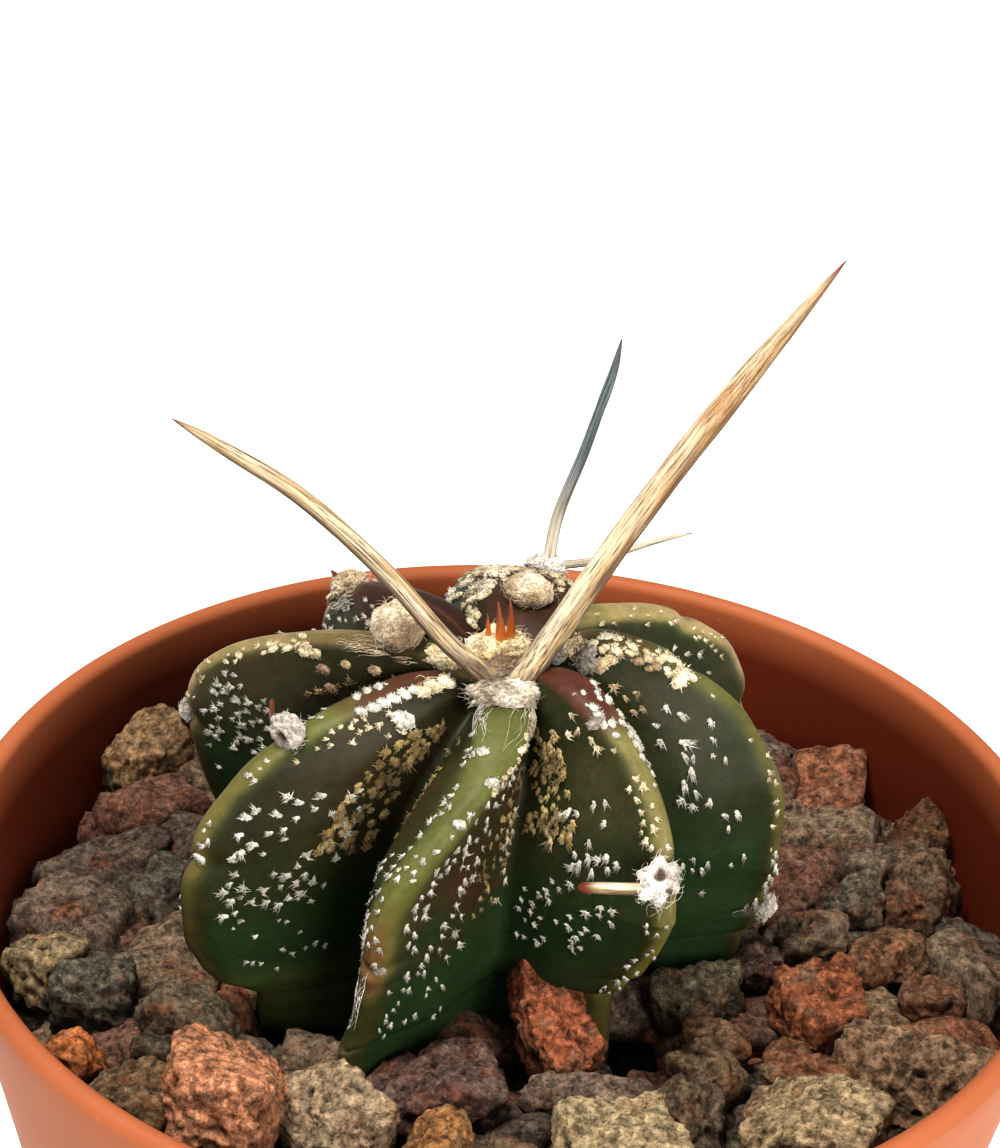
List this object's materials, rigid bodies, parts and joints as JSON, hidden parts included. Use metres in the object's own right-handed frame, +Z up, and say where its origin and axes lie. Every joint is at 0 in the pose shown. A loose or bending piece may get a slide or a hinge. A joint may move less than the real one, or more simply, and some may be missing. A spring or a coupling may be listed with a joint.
{
  "type": "goats horn cactus in a pot",
  "caption": "Ribbed globe cactus with long curved horn-like spines and woolly areoles, standing in a round tapered nursery pot topped with lava grit.",
  "frame": {"origin": "middle of the pot's underside, on the surface that it stands on", "axes": "+Z up along the pot's axis; the side that the picture shows faces -Y, with +X to its right"},
  "size_m": [0.065, 0.065, 0.0891],
  "materials": {
    "grey_spine": "grey weathered horn",
    "crown_wool": "cream matted wool",
    "spine": "weathered straw-coloured horn with brown streaks",
    "grit": "small porous lava grit, dry",
    "pot": "moulded terracotta-coloured plastic, satin",
    "stem": "waxy green skin with white hair flecks",
    "red_stone": "red-brown porous lava, dry",
    "grey_stone": "grey porous lava, dry",
    "tan_stone": "tan porous lava, dry",
    "dark_stone": "dark brown porous lava, dry",
    "stub_spine": "pale horn with a red-brown tip",
    "grey_wool": "grey matted wool",
    "tan_wool": "tan curled wool",
    "white_wool": "white curled wool",
    "young_spine": "orange-brown horn, satin"
  },
  "bodies": {
    "root": {"back_spines": "grey_spine", "crown_wool": "crown_wool", "front_spines": "spine", "grit_bed": "grit", "pot": "pot", "stem": "stem", "stone_01": "red_stone", "stone_02": "red_stone", "stone_03": "grey_stone", "stone_04": "tan_stone", "stone_05": "tan_stone", "stone_06": "red_stone", "stone_07": "grey_stone", "stone_08": "dark_stone", "stone_09": "grey_stone", "stone_10": "tan_stone", "stone_11": "grey_stone", "stone_12": "dark_stone", "stone_13": "tan_stone", "stone_14": "grey_stone", "stone_15": "red_stone", "stone_16": "tan_stone", "stone_17": "dark_stone", "stone_18": "dark_stone", "stone_19": "grey_stone", "stone_20": "red_stone", "stone_21": "grey_stone", "stone_22": "red_stone", "stone_23": "red_stone", "stone_24": "tan_stone", "stone_25": "grey_stone", "stone_26": "dark_stone", "stone_27": "red_stone", "stone_28": "tan_stone", "stone_29": "red_stone", "stub_spine": "stub_spine", "wool_back": "grey_wool", "wool_back_ball": "tan_wool", "wool_far": "tan_wool", "wool_front": "grey_wool", "wool_left": "white_wool", "wool_left_ball": "tan_wool", "wool_left_low": "white_wool", "wool_right": "white_wool", "wool_right_low": "white_wool", "young_spines": "young_spine"}
  },
  "joints": []
}
